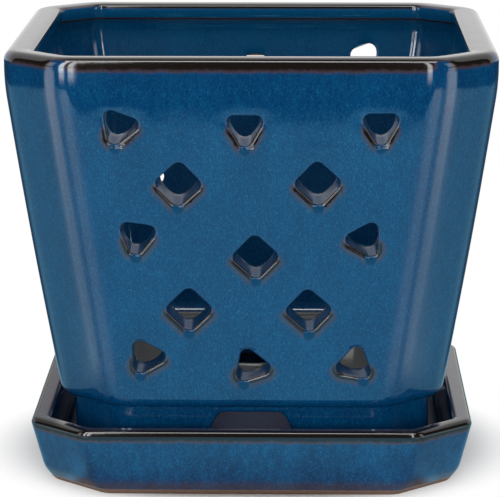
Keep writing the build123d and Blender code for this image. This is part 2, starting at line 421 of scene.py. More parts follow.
def cutterSpool(outline, lip, columns, roundReach=0.0):
    # a plug with flared ends: at each depth the outline, set out by the lip's reach and drawn to a circle
    rows = lip.add("GeometryNodeAttributeDomainSize", None, {"Geometry": lip})
    drum = outline.add("GeometryNodeMeshCylinder", {"fill_type": "NGON"},
                       {"Vertices": columns, "Side Segments": rows - 1, "Radius": 1.0, "Depth": 1.0})
    spot = drum.add("ShaderNodeSeparateXYZ", None, {"Vector": drum.add("GeometryNodeInputPosition")})
    turn = spot.maths("ARCTAN2", spot.other("Y"), spot.other("X")) / (2 * pi) % 1.0
    level = spot.other("Z") + 0.5
    depthRow = level.maths("ROUND", level * (rows - 1))
    along = outline.add("GeometryNodeSampleCurve", {"mode": "FACTOR"},
                        {"Curves": outline, "Factor": turn}, "Position")
    outward = along.vector("CROSS_PRODUCT", along.other("Tangent"), (0.0, 0.0, 1.0))
    outward = outward.vector("NORMALIZE", outward)
    flare = outward.vector("SCALE", outward, lookUp(lip, "flare", depthRow))
    depth = lookUp(lip, "depth", depthRow)
    circle = along.vector("NORMALIZE", along)
    circle = circle.vector("SCALE", circle, roundReach)
    along = along.add("ShaderNodeMix", {"data_type": "VECTOR"},
                      {"Factor": lookUp(lip, "round", depthRow), "A": along, "B": circle})
    inward = flare.add("ShaderNodeCombineXYZ", None, {"Z": depth})
    place = along.vector("ADD", along.vector("ADD", along, flare), inward)
    body = drum.add("GeometryNodeStoreNamedAttribute", {"data_type": "FLOAT", "domain": "POINT"},
                    {"Geometry": drum, "Name": "plugDepth", "Value": depth})
    return body.add("GeometryNodeSetPosition", None, {"Geometry": body, "Position": place})


def stray(body, start):
    # slow waves that leave no wall dead flat
    spot = body.add("GeometryNodeInputPosition")
    wave = body.add("ShaderNodeTexNoise", {"noise_dimensions": "4D"},
                    {"Vector": spot, "W": start.other("Seed"), "Scale": start.other("Wave Count"),
                     "Detail": 1.0, "Roughness": 0.4}, "Color")
    wave = wave.vector("SUBTRACT", wave, (0.5, 0.5, 0.5))
    height = spot.add("ShaderNodeSeparateXYZ", None, {"Vector": spot}, "Z")
    free = height.maths("GREATER_THAN", height, start.other("Level Below"))
    shift = wave.vector("SCALE", wave, start.other("Unevenness") * free)
    return body.add("GeometryNodeSetPosition", None, {"Geometry": body, "Offset": shift})


def closeTree(body, start):
    smooth = body.add("GeometryNodeSetShadeSmooth", None, {"Geometry": body})
    real = body.add("GeometryNodeRealizeInstances", None, {"Geometry": smooth})
    coated = body.add("GeometryNodeSetMaterial", None,
                      {"Geometry": real, "Material": start.other("Material")})
    coated.add("NodeGroupOutput", None, {"Geometry": coated})


def grown(name, start, values):
    # runs a tree on an empty mesh and keeps the result as a plain mesh
    holder = bpy.data.objects.new(name + "Holder", bpy.data.meshes.new(name + "Holder"))
    bpy.context.scene.collection.objects.link(holder)
    nodes = holder.modifiers.new("grow", "NODES")
    nodes.node_group = start.tree
    for item in start.tree.interface.items_tree:
        if item.in_out == "INPUT" and item.name in values:
            nodes[item.identifier] = values[item.name]
    shown = holder.evaluated_get(bpy.context.evaluated_depsgraph_get())
    mesh = bpy.data.meshes.new_from_object(shown)
    holder.modifiers.remove(nodes)
    bpy.data.objects.remove(holder)
    mesh.name = name
    piece = bpy.data.objects.new(name, mesh)
    bpy.context.scene.collection.objects.link(piece)
    triangles = sum(len(face.vertices) - 2 for face in mesh.polygons)
    print(name, len(mesh.vertices), "points", triangles, "triangles")
    return piece


plug = {
    # how far a cutter stands past the face it leaves, and how it widens there, in shares of its lip
    "skin": 0.06, "skinFlare": 1.04, "endFlare": 1.3, "reach": 3.0,
    "slotColumns": 46, "notchColumns": 44,
}
slots = {
    "diamondRadius": 7.6, "halfDiamondRadius": 7.9, "cornerRadius": 2.1,
    "lip": 0.8, "lipTurns": (0, 18, 36, 54, 68, 79), "cornerSteps": 6,
    "innerLip": 0.5, "innerTurns": (75, 45, 15), "innerSkin": 0.2, "innerFlare": 0.4,
    "tubeShares": (0.75, 0.5, 0.25),
    "taper": 0.2,           # how much closer the inner end is, all round
    "rise": 0.05,           # how steeply the hole climbs into the pot
    "innerRound": 0.6,      # how far the inner end goes to a circle
    "diamondCircle": 5.2, "halfDiamondCircle": 4.5,
    "baseClearance": 4.6, "topClearance": 4.2, "sideClearance": 2.6,
    # each wall's set: up, climb for each column, across; front, right, back, left
    "sets": ((0, 0, 0), (0.8, 0.6, 0), (-1.5, -3.0, 2.2), (-0.6, -0.5, -0.8)),
    # column, sides, turn, stray across and up, from the bottom row upwards
    "rows": (
        ((-1, 3, 1, -2.0, 1.7), (0, 3, -10, 0.2, -1.2), (1, 3, 79, 1.8, -0.5)),
        ((-0.5, 4, 0, -2.3, -1.5), (0.5, 4, 3, 1.2, -1.7)),
        ((-1, 3, 22, 1.5, 3.2), (0, 4, 2, 1.5, -3.2), (1, 3, 60, -1.1, 2.4)),
        ((-0.5, 4, -2, -2.3, 1.0), (0.5, 4, 2, 1.0, 1.3)),
        ((-1, 3, 9, 2.3, 0.1), (0, 3, 30, -1.6, -0.3), (1, 3, 31, -2.4, 0.3)),
    ),
}


def wallFrame(side):
    # origin at the foot of a wall's outer face, then level, up the slope and outwards
    tilt = atan(potLean)
    turn = Matrix.Rotation(side * pi / 2, 3, "Z")
    level = turn @ Vector((1, 0, 0))
    up = turn @ Vector((0, -sin(tilt), cos(tilt)))
    outward = turn @ Vector((0, -cos(tilt), -sin(tilt)))
    origin = turn @ Vector((0, -pot["wallHalf"], pot["wallZ"]))
    return origin, level, up, outward


def slotPlaces():
    # (side, sides of the outline, turn, across, up the slope) of every slot
    reach = slots["halfDiamondRadius"] - slots["cornerRadius"] + slots["lip"]
    wallHeight = pot["collarZ"] - pot["wallZ"]
    bottom = pot["wallEdge"] + slots["baseClearance"] + reach
    top = wallHeight - slots["topClearance"] - reach
    pitch = (top - bottom) / (len(slots["rows"]) - 1)
    flatEnd = plan["cornerCut"] + pot["cornerRadius"] * tan(pi / 8)
    for side, (lift, climb, shift) in enumerate(slots["sets"]):
        for number, row in enumerate(slots["rows"]):
            height = bottom + number * pitch
            outer = pot["wallHalf"] + potLean * height - flatEnd - slots["sideClearance"] - reach
            for column, sides, turn, across, up in row:
                rise = (height + up + lift + climb * column) * sqrt(1 + potLean**2)
                yield side, sides, turn, column * outer + across + shift, rise


def slotCloud():
    spots, kinds, aims = [], [], []
    for side, sides, turn, across, up in slotPlaces():
        origin, level, rise, outward = wallFrame(side)
        spot = origin + across * level + up * rise
        spots.append((spot + float(swellAt(spot.z)) * outward) * mm)
        kinds.append(sides)
        aim = Matrix((level, rise, outward)).transposed() @ Matrix.Rotation(radians(turn), 3, "Z")
        aims.append(aim.to_euler())
    return pointCloud("slotMarks", {"kind": kinds, "aim": np.array(aims)}, np.array(spots))


def lipCloud(thickness):
    # section of a slot through a wall, from inside to outside; depth 0 is the outer face
    lip, innerLip, taper = (slots[key] for key in ("lip", "innerLip", "taper"))
    wide = innerLip - taper + slots["innerFlare"]
    rows = [(wide, -thickness - plug["reach"], 1), (wide, -thickness - slots["innerSkin"], 1)]
    for angle in np.radians(slots["innerTurns"]):
        rows.append((innerLip * (1 - cos(angle)) - taper, -thickness + innerLip * (1 - sin(angle)), 1))
    for share in slots["tubeShares"]:
        rows.append((-taper * share, -lip - (thickness - lip - innerLip) * share, share))
    for angle in np.radians(slots["lipTurns"]):
        rows.append((lip * (1 - cos(angle)), -lip * (1 - sin(angle)), 0))
    rows.append((lip * plug["skinFlare"], plug["skin"], 0))
    rows.append((lip * plug["endFlare"], plug["reach"], 0))
    rows = np.array(rows)
    return pointCloud("slotLip", {
        "flare": rows[:, 0] * mm, "depth": rows[:, 1] * mm,
        "round": rows[:, 2] * slots["innerRound"]})


notch = {
    "topWidth": 20.0, "baseWidth": 37.0, "rise": 17.4, "below": 4.0,
    "lip": 1.0, "lipTurns": (0, 20, 40, 60, 78), "corner": 2.5, "cornerSteps": 5,
}


def notchCloud():
    # section of the cut right through the foot, rounded where it leaves the ring on either side
    footHalf = pot["wallHalf"] - pot["footInset"]
    lip = notch["lip"]
    end = [(lip * (1 - cos(angle)), footHalf - lip * (1 - sin(angle)))
           for angle in np.radians(notch["lipTurns"])]
    end.append((lip * plug["skinFlare"], footHalf + plug["skin"]))
    end.append((lip * plug["endFlare"], footHalf + plug["reach"]))
    rows = np.array([(flare, -depth) for flare, depth in reversed(end)] + end) * mm
    return pointCloud("notchSection", {
        "flare": rows[:, 0], "depth": rows[:, 1], "round": np.zeros(len(rows))})


def notchCutter(start, turn):
    section = start.add("GeometryNodeObjectInfo", None, {"Object": start.other("Notch Section")}, "Geometry")
    splay = (notch["baseWidth"] - notch["topWidth"]) / notch["rise"]
    tall = notch["rise"] + notch["below"]
    width = start.other("Notch Width")
    outline = start.add("GeometryNodeCurvePrimitiveQuadrilateral", {"mode": "TRAPEZOID"}, {
        "Top Width": width, "Bottom Width": width + splay * tall * mm, "Height": tall * mm, "Offset": 0.0})
    outline = outline.add("GeometryNodeFilletCurve", {"mode": "POLY"}, {
        "Curve": outline, "Count": notch["cornerSteps"], "Radius": notch["corner"] * mm})
    spool = cutterSpool(outline, section, plug["notchColumns"])
    middle = pot["footZ"] + (notch["rise"] - notch["below"]) / 2
    return spool.add("GeometryNodeTransform", None, {
        "Geometry": spool, "Translation": (0.0, 0.0, middle * mm), "Rotation": (pi / 2, 0.0, turn)})


def growPot(finish, planPoints):
    start = newTree("potTree", {
        "Plan": "Object", "Section": "Object", "Slot Marks": "Object", "Slot Lip": "Object",
        "Notch Section": "Object", "Notch Width": "Float", "Diamond Radius": "Float",
        "Half Diamond Radius": "Float", "Slot Corner": "Float", "Slot Rise": "Float", "Unevenness": "Float",
        "Wave Count": "Float", "Seed": "Float", "Level Below": "Float", "Material": "Material"})
    body = sweepPlan(start, True)
    thickness = pot["wall"] * cos(atan(potLean))
    lip = start.add("GeometryNodeObjectInfo", None, {"Object": start.other("Slot Lip")}, "Geometry")
    marks = start.add("GeometryNodeObjectInfo", None, {"Object": start.other("Slot Marks")}, "Geometry")
    cutters = []
    for sides, size, circle in ((3, "Half Diamond Radius", "halfDiamondCircle"),
                                (4, "Diamond Radius", "diamondCircle")):
        ring = start.add("GeometryNodeCurvePrimitiveCircle", None,
                         {"Resolution": sides, "Radius": start.other(size)})
        outline = ring.add("GeometryNodeFilletCurve", {"mode": "POLY"}, {
            "Curve": ring, "Count": slots["cornerSteps"], "Radius": start.other("Slot Corner")})
        spool = cutterSpool(outline, lip, plug["slotColumns"], slots[circle] * mm)
        kind = spool.add("GeometryNodeInputNamedAttribute", None, {"Name": "kind"})
        picked = spool.add("FunctionNodeCompare", {"data_type": "FLOAT", "operation": "EQUAL"},
                           {"A": kind, "B": float(sides), "Epsilon": 0.1})
        aim = spool.add("GeometryNodeInputNamedAttribute", {"data_type": "FLOAT_VECTOR"}, {"Name": "aim"})
        aim = aim.add("FunctionNodeEulerToRotation", None, {"Euler": aim})
        cutters.append(spool.add("GeometryNodeInstanceOnPoints", None,
                                 {"Points": marks, "Selection": picked, "Instance": spool, "Rotation": aim}))
    plugs = start.add("GeometryNodeJoinGeometry", None, {"Geometry": cutters})
    plugs = plugs.add("GeometryNodeRealizeInstances", None, {"Geometry": plugs})
    depth = plugs.add("GeometryNodeInputNamedAttribute", None, {"Name": "plugDepth"})
    climb = depth.add("ShaderNodeClamp", None, {0: depth * -1.0, 1: 0.0, 2: thickness * mm})
    climb = climb.add("ShaderNodeCombineXYZ", None, {"Z": climb * start.other("Slot Rise")})
    plugs = plugs.add("GeometryNodeSetPosition", None, {"Geometry": plugs, "Offset": climb})
    plugs = plugs.add("GeometryNodeRemoveAttribute", None, {"Geometry": plugs, "Name": "plugDepth"})
    body = body.add("GeometryNodeMeshBoolean", {"operation": "DIFFERENCE", "solver": "MANIFOLD"},
                    {"Mesh 1": body, "Mesh 2": [plugs, notchCutter(start, 0.0), notchCutter(start, pi / 2)]})
    closeTree(stray(body, start), start)
    return grown("potBody", start, {
        "Plan": planPoints, "Section": potProfile(), "Slot Marks": slotCloud(),
        "Slot Lip": lipCloud(thickness),
        "Notch Section": notchCloud(), "Notch Width": notch["topWidth"] * mm,
        "Diamond Radius": slots["diamondRadius"] * mm, "Half Diamond Radius": slots["halfDiamondRadius"] * mm,
        "Slot Corner": slots["cornerRadius"] * mm, "Slot Rise": slots["rise"],
        "Unevenness": 2 * pot["uneven"] * mm, "Wave Count": pot["unevenScale"], "Seed": pot["seed"],
        "Level Below": pot["levelBelow"] * mm, "Material": finish})


def growSaucer(finish, planPoints):
    start = newTree("saucerTree", {
        "Plan": "Object", "Section": "Object", "Unevenness": "Float", "Wave Count": "Float", "Seed": "Float",
        "Level Below": "Float", "Material": "Material"})
    body = sweepPlan(start, False)
    closeTree(stray(body, start), start)
    return grown("saucerBody", start, {
        "Plan": planPoints, "Section": saucerProfile(), "Unevenness": 2 * saucer["uneven"] * mm,
        "Wave Count": saucer["unevenScale"], "Seed": saucer["seed"],
        "Level Below": saucer["levelBelow"] * mm, "Material": finish})


def bell(value, middle, width):
    return np.exp(-((value - middle) / width)**2)


def outlineReach(points, corners, radius):
    # how far points lie outside a rounded outline; below 0 inside it
    nearest = np.full(len(points), np.inf)
    inside = np.ones(len(points), bool)
    for first, second in zip(corners, np.roll(corners, -1, axis=0)):
        edge = second - first
        along = np.clip((points - first) @ edge / (edge @ edge), 0, 1)
        nearest = np.minimum(nearest, np.linalg.norm(points - first - along[:, None] * edge, axis=1))
        inside &= edge[0] * (points[:, 1] - first[1]) - edge[1] * (points[:, 0] - first[0]) >= 0
    return np.where(inside, -nearest, nearest) - radius


def planHalf(spots):
    # half width of the cut-corner plan through each point
    across, along = np.abs(spots[:, 0]), np.abs(spots[:, 1])
    return np.maximum(np.maximum(across, along), (across + along + plan["cornerCut"]) / 2)


def readSpots(piece):
    spots = np.empty(len(piece.data.vertices) * 3, np.float32)
    piece.data.vertices.foreach_get("co", spots)
    return spots.reshape(-1, 3).astype(float) / mm


def writeSpots(piece, spots):
    piece.data.vertices.foreach_set("co", (spots * mm).astype(np.float32).ravel())
    piece.data.update()


def writeMark(piece, name, values):
    # a number, or three, at every point for the finish to read
    kind = "FLOAT_VECTOR" if values.ndim == 2 else "FLOAT"
    attribute = piece.data.attributes.new(name, kind, "POINT")
    attribute.data.foreach_set("vector" if values.ndim == 2 else "value", values.astype(np.float32).ravel())


burr = {
    # ridge that the cutter left round a slot, mm, and how far from the slot its marks go
    "reach": 4.0, "width": 2.2, "rise": 0.05, "faceDepth": 2.0,
    "markReach": 20.0, "markDepth": (-9.0, 3.0), "unmarked": 40.0,
}


def dressPot(piece):
    # marks: drop (across and down from a slot's lowest corner, distance to its edge), below, depth, outer
    spots = readSpots(piece)
    moved = spots.copy()
    drop = np.full((len(spots), 3), burr["unmarked"])
    below = np.zeros(len(spots))
    outer = planHalf(spots) - potHalf(spots[:, 2])
    deepest, highest = burr["markDepth"]
    depthMark = np.clip(outer, deepest, 0.0)
    for side, sides, turn, across, up in slotPlaces():
        origin, level, rise, outward = (np.array(part) for part in wallFrame(side))
        local = spots - origin
        flat = np.stack([local @ level - across, local @ rise - up], axis=1)
        depth = local @ outward - swellAt(spots[:, 2])
        beside = np.abs(flat).max(axis=1) < burr["markReach"]
        near = np.flatnonzero(beside & (depth > deepest) & (depth < highest))
        flat, depth = flat[near], depth[near]
        size = slots["diamondRadius"] if sides == 4 else slots["halfDiamondRadius"]
        inner = size - slots["cornerRadius"] / cos(pi / sides)
        angles = radians(turn) + 2 * pi * np.arange(sides) / sides
        corners = inner * np.stack([np.cos(angles), np.sin(angles)], axis=1)
        reach = outlineReach(flat, corners, slots["cornerRadius"])
        lowest = corners[np.argmin(corners[:, 1])] - (0, slots["cornerRadius"])
        gap = flat - lowest
        closer = reach < drop[near, 2]
        chosen = near[closer]
        drop[chosen] = np.hstack([gap, reach[:, None]])[closer]
        below[chosen] = flat[closer, 1]
        depthMark[chosen] = depth[closer]
        ridge = burr["rise"] * bell(reach, burr["reach"], burr["width"]) * (depth > -burr["faceDepth"])
        moved[near] += ridge[:, None] * outward
    writeSpots(piece, moved)
    for name, values in (("drop", drop), ("below", below), ("depth", depthMark), ("outer", outer)):
        writeMark(piece, name, values)


def dressSaucer(piece):
    spots = readSpots(piece)
    rimHalf = saucer["bendHalf"] + saucer["lean"] * (saucer["height"] - saucer["bendZ"])
    outer = planHalf(spots) - rimHalf + saucer["lean"] * (saucer["height"] - spots[:, 2])
    writeMark(piece, "outer", outer)


class Coat(Wire):
    # wires of a finish, with the few patterns that both glazes use
    def mark(self, name):
        return self.add("ShaderNodeAttribute", {"attribute_name": name}, None, "Fac")

    def markVector(self, name):
        place = self.add("ShaderNodeAttribute", {"attribute_name": name}, None, "Vector")
        return self.add("ShaderNodeSeparateXYZ", None, {"Vector": place})

    def spot(self):
        return self.add("ShaderNodeTexCoord", None, None, "Object")

    def height(self):
        return self.add("ShaderNodeSeparateXYZ", None, {"Vector": self.spot()}, "Z") * 1000.0

    def noise(self, scale, shift, detail=2.0, roughness=0.5):
        moved = self.add("ShaderNodeMapping", None,
                         {"Vector": self.spot(), "Location": shift, "Scale": scale})
        return self.add("ShaderNodeTexNoise", None, {
            "Vector": moved, "Scale": 1.0, "Detail": detail, "Roughness": roughness}, "Fac")

    def blend(self, factor, first, second):
        return self.add("ShaderNodeMix", {"data_type": "RGBA"}, {
            "Factor": factor,
            "A": first if isinstance(first, Wire) else (*first, 1.0),
            "B": second if isinstance(second, Wire) else (*second, 1.0)})

    def rise(self, value, low, high):
        return self.add("ShaderNodeMapRange", {"interpolation_type": "SMOOTHSTEP"}, {
            "Value": value, "From Min": low, "From Max": high, "To Min": 0.0, "To Max": 1.0})

    def band(self, value, low, high, soft):
        return self.rise(value, low - soft, low + soft) * self.rise(value, high + soft, high - soft)

    def most(self, first, *others):
        for other in others:
            first = self.maths("MAXIMUM", first, other)
        return first


glaze = {
    "deep": (0.0002, 0.023, 0.076), "middle": (0.0005, 0.036, 0.110), "light": (0.0012, 0.062, 0.158),
    "stops": (0.36, 0.50, 0.64),            # where those three stand in the mixed pattern
    "mix": {"streak": 0.25, "grain": 0.4, "cloud": 0.2, "blotch": 0.15},
    "speck": (0.006, 0.098, 0.195), "speckFrom": (0.54, 0.72), "speckShare": 0.55,
    # grey of the floor inside the pot: partly a dull floor, partly painted light falling in from the mouth
    "paleFloor": (0.075, 0.076, 0.070), "poolTint": (0.0003, 0.037, 0.098),
    # browns of burnt glaze, also used for the painted shade inside the foot ring, under the inner lip and on
    # the saucer's floor
    "burnShadeDark": (0.0075, 0.0055, 0.0046), "burnShadeRust": (0.062, 0.029, 0.016),
    "burnShadeFrom": (0.02, 0.3), "burnShadeRagged": 0.3,
    "rustFrom": (0.12, 0.7), "rustShare": 0.8, "darkFrom": (0.45, 0.9),
    "clayTint": (0.165, 0.093, 0.062), "clayDark": (0.086, 0.048, 0.032),
    "clayEdge": (0.35, 0.65), "clayRagged": 0.5,
    "roughness": 0.06, "streakRoughness": 0.05, "clayRoughness": 0.85, "index": 1.52,
    "mattRoughness": 0.5, "mattIndex": 1.12,
    "peel": 0.008, "ripple": 0.06, "claySand": 3.0,     # relief of orange peel and ripples, mm; sand, in peels
    "stray": 1.6,                           # how far a mark's edge may stray, mm; each mark has its share
    # waves in a metre along x, y and z, then detail and roughness
    "patterns": {
        "streak": ((1700.0, 1700.0, 330.0), 3.0, 0.65), "cloud": ((90.0, 90.0, 30.0), 2.0, 0.5),
        "blotch": ((500.0, 500.0, 260.0), 2.0, 0.6), "grain": ((3000.0, 3000.0, 1700.0), 2.0, 0.6),
        "fleck": ((2600.0, 2600.0, 1300.0), 1.0, 0.5), "ragged": ((420.0, 420.0, 300.0), 3.0, 0.6),
        "clay": ((700.0, 700.0, 700.0), 4.0, 0.65), "sand": ((2500.0, 2500.0, 2500.0), 2.0, 0.5),
        "peel": ((420.0, 420.0, 420.0), 2.0, 0.5), "ripple": ((70.0, 70.0, 70.0), 1.0, 0.5),
    },
}
# marks of the pot's glaze, mm; heights count from the rim, the foot of the wall or the floor
potGlaze = {
    "corner": (50.0, 60.0), "ridge": (13.0, 20.0, 2.5),     # across a corner, and the two edges beside it
    "slotLow": (1.5, -2.5), "face": (-1.2, -0.5),           # lower half of a slot, and its outer face
    "dropSize": (1.75, 1.9), "dropLift": 0.8, "dropEdge": (1.25, 0.7), "dropReach": (3.5, 2.5),
    "edge": (0.15, 1.35, 0.3), "edgeLeast": 0.2, "halo": (4.6, 0.4), "haloBurn": 0.62,
    "outside": (-3.5, -1.5), "inside": (-6.0, -7.5), "lining": (-3.0, -4.0), "core": (-9.0, -11.0),
    "rimBurn": (-5.8, -1.9), "cornerLift": 0.6, "ridgeHighlight": 0.85,
    "topBurn": (-1.6, -0.4), "topShare": 0.95, "topCorner": 0.4,
    # lipFoot: painted shade, a dark line in the crease under the inner lip's overhang
    "lipBurn": (-1.5, 1.0, 0.3), "lipFoot": (-5.4, -4.7, 0.35), "lipShadeDark": 0.85,
    # under: painted shade inside the foot ring, beneath the floor
    "baseLine": (0.6, 1.2, 0.4), "baseBurn": 0.15, "under": (1.5, 0.5), "underBurn": 0.8, "bare": (0.9, 0.3),
    "tube": (-6.5, -1.2, 0.4), "tubeReach": (1.6, 0.9), "tubeDull": 0.2,
    # the pale floor inside the pot, partly painted light
    "paleFloor": (-3.0, 3.5, 1.5), "paleFloorFrom": (-7.5, -9.5), "poolMatt": 0.6, "paleFloorMatt": 0.6,
    "lift": 0.13, "mouthLightFrom": (-4.6, -5.4), "mouthLightHeight": (95.0, 115.0),    # painted light: paler glaze high inside the mouth, where more light reaches
    "stray": {"aside": 0.4, "down": 0.3, "edge": 0.3, "halo": 1.5, "rim": 0.35, "lipFoot": 0.4},
}


def potMarks(coat, ragged):
    # how far the glaze is burnt and darkened by painted shade, gathered in a drop, bare, dull, matt, pale on
    # the floor (partly painted light), and made paler in the mouth as painted light
    spot = coat.add("ShaderNodeSeparateXYZ", None, {"Vector": coat.spot()})
    height, outer, depth = spot.other("Z") * 1000.0, coat.mark("outer"), coat.mark("depth")
    fromRim = height - pot["rimZ"]
    across, along = (coat.maths("ABSOLUTE", part) * 1000.0 for part in (spot, spot.other("Y")))
    corner = coat.rise(coat.maths("MINIMUM", across, along), *potGlaze["corner"])
    ridge = coat.band(coat.maths("ABSOLUTE", across - along), *potGlaze["ridge"])
    drop = coat.markVector("drop")
    reach, low = drop.other("Z"), coat.rise(coat.mark("below"), *potGlaze["slotLow"])
    face = coat.rise(depth, *potGlaze["face"])
    uneven = (ragged - 0.5) * glaze["stray"]
    wide, tall = potGlaze["dropSize"]
    strays = {key: uneven * share for key, share in potGlaze["stray"].items()}
    aside = (drop + strays["aside"]) / wide
    down = (drop.other("Y") + strays["down"] + potGlaze["dropLift"]) / tall
    pool = coat.rise(aside * aside + down * down, *potGlaze["dropEdge"])
    pool = pool * coat.rise(reach, *potGlaze["dropReach"]) * face
    least = potGlaze["edgeLeast"]
    edge = coat.band(reach + strays["edge"], *potGlaze["edge"]) * (least + (1 - least) * low)
    halo = coat.rise(reach + strays["halo"], *potGlaze["halo"]) * low * potGlaze["haloBurn"]
    slotBurn = coat.most(edge, halo) * face * (1 - pool)
    outside, inside, lining, core = (
        coat.rise(outer, *potGlaze[key]) for key in ("outside", "inside", "lining", "core"))
    rimBurn = coat.rise(fromRim + strays["rim"] - corner * potGlaze["cornerLift"], *potGlaze["rimBurn"])
    # painted highlight: the dark rim band is cleared at the corner edges, where a bright reflection runs up
    # over the rim
    rimBurn = rimBurn * outside * (1 - potGlaze["ridgeHighlight"] * ridge)
    topBurn = coat.rise(fromRim, *potGlaze["topBurn"]) * (potGlaze["topShare"] - potGlaze["topCorner"] * corner)
    lipBurn = coat.band(fromRim, *potGlaze["lipBurn"]) * inside
    # painted shade: a dark line in the crease under the overhanging inner lip
    lipFoot = coat.band(fromRim + strays["lipFoot"], *potGlaze["lipFoot"]) * lining * potGlaze["lipShadeDark"]
    baseLine = coat.band(height - pot["wallZ"], *potGlaze["baseLine"]) * outside * potGlaze["baseBurn"]
    # painted shade: the glaze inside the foot ring, beneath the floor, is darkened and made matt
    under = coat.rise(height - pot["underZ"], *potGlaze["under"]) * core * potGlaze["underBurn"]
    burnAndShade = coat.most(slotBurn, rimBurn, topBurn, lipBurn, lipFoot, baseLine, under)
    bare = coat.rise(height - pot["footZ"], *potGlaze["bare"])
    dull = coat.band(depth, *potGlaze["tube"]) * coat.rise(reach, *potGlaze["tubeReach"]) * potGlaze["tubeDull"]
    # pale grey floor inside the pot: partly a dull floor, partly painted light falling in from the mouth
    paleFloor = coat.band(height - pot["floorZ"], *potGlaze["paleFloor"]) * coat.rise(outer, *potGlaze["paleFloorFrom"])
    # painted light: the glaze made paler high inside the mouth, nearer the light
    lift = coat.rise(height, *potGlaze["mouthLightHeight"]) * coat.rise(outer, *potGlaze["mouthLightFrom"])
    matt = coat.most(pool * potGlaze["poolMatt"], under, paleFloor * potGlaze["paleFloorMatt"])
    return burnAndShade, pool, bare, dull, matt, paleFloor, lift * potGlaze["lift"]


# marks of the saucer's glaze, mm; the rim's heights count from the top
saucerGlaze = {
    "rimBurn": (-5.2, -1.6), "rimOutside": (-3.2, -1.8), "rimTop": (-1.2, -0.3), "topBurn": 0.5,
    "low": (8.0, 2.5), "lowBurn": 0.42, "bare": (2.0, 1.4),
    # the saucer's floor under the pot: dry, matt glaze, with painted shade darkening its colour
    "inside": (-4.0, -6.0), "dryShadedFloor": (1.2, 0.3), "floorShadeDark": 0.45, "dryDull": 0.4, "dryMatt": 0.8,
    "side": (56.0, 62.0), "sideMatt": 0.25, "leftMatt": 0.4, "leftFrom": (20.0, -20.0),
    "stray": {"rim": 0.7, "low": 0.6, "bare": 0.5},
}


def saucerMarks(coat, ragged):
    spot = coat.add("ShaderNodeSeparateXYZ", None, {"Vector": coat.spot()})
    across, height, outer = spot * 1000.0, spot.other("Z") * 1000.0, coat.mark("outer")
    fromRim = height - saucer["height"]
    uneven = (ragged - 0.5) * glaze["stray"]
    strays = {key: uneven * share for key, share in saucerGlaze["stray"].items()}
    rimBurn = coat.rise(fromRim + strays["rim"], *saucerGlaze["rimBurn"])
    rimBurn = rimBurn * coat.rise(outer, *saucerGlaze["rimOutside"])
    rimTop = coat.rise(fromRim, *saucerGlaze["rimTop"])
    low = coat.rise(height + strays["low"], *saucerGlaze["low"]) * saucerGlaze["lowBurn"]
    # saucer floor under the pot: dry and matt, darkened by painted shade
    dryShadedFloor = coat.rise(height - saucer["floorZ"], *saucerGlaze["dryShadedFloor"]) * coat.rise(outer, *saucerGlaze["inside"])
    burnAndShade = coat.most(rimBurn, rimTop * saucerGlaze["topBurn"], low, dryShadedFloor * saucerGlaze["floorShadeDark"])
    bare = coat.rise(height + strays["bare"], *saucerGlaze["bare"])
    side = coat.rise(coat.maths("ABSOLUTE", across), *saucerGlaze["side"]) * rimTop
    left = coat.rise(across, *saucerGlaze["leftFrom"]) * saucerGlaze["leftMatt"]
    matt = coat.most(side * (saucerGlaze["sideMatt"] + left), dryShadedFloor * saucerGlaze["dryMatt"])
    return burnAndShade, 0.0, bare, dryShadedFloor * saucerGlaze["dryDull"], matt, 0.0, 0.0


